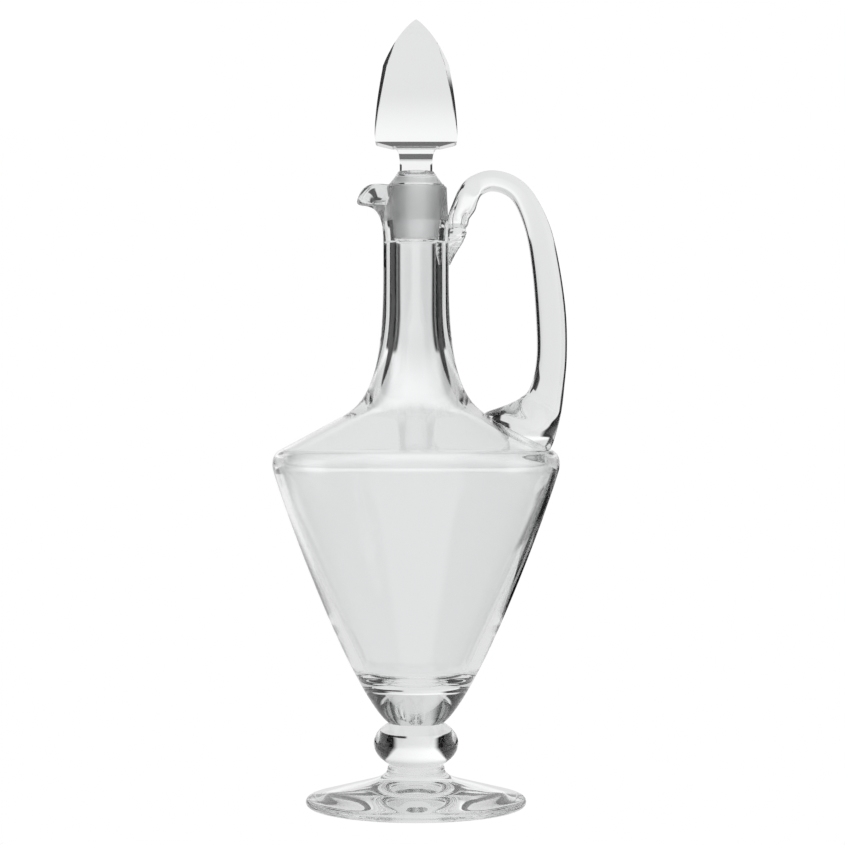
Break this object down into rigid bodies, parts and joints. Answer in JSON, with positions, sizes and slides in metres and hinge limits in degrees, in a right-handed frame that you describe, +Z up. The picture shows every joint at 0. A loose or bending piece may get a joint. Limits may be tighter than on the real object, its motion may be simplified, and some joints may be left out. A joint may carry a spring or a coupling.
{
  "type": "claret jug",
  "caption": "Footed clear glass jug with a pulled spout, an applied loop handle and a solid stopper that lifts out of its ground neck.",
  "frame": {"origin": "on the jug's axis, on the table it stands on", "axes": "+Z up the jug's axis, towards the tip of the stopper; -X towards the spout, +X towards the handle"},
  "size_m": [0.1323, 0.129, 0.3534],
  "materials": {
    "clear_glass": "fire-polished clear glass, fine ground on the plug and its socket"
  },
  "bodies": {
    "jug": {"foot": "clear_glass", "knop": "clear_glass", "body": "clear_glass", "handle": "clear_glass"},
    "stopper": {"stopper": "clear_glass"}
  },
  "joints": [
    {"name": "stopper_lift", "type": "slide", "parent": "jug", "child": "stopper", "axis": [0, 0, 1], "range_m": [0, 0.06]}
  ]
}
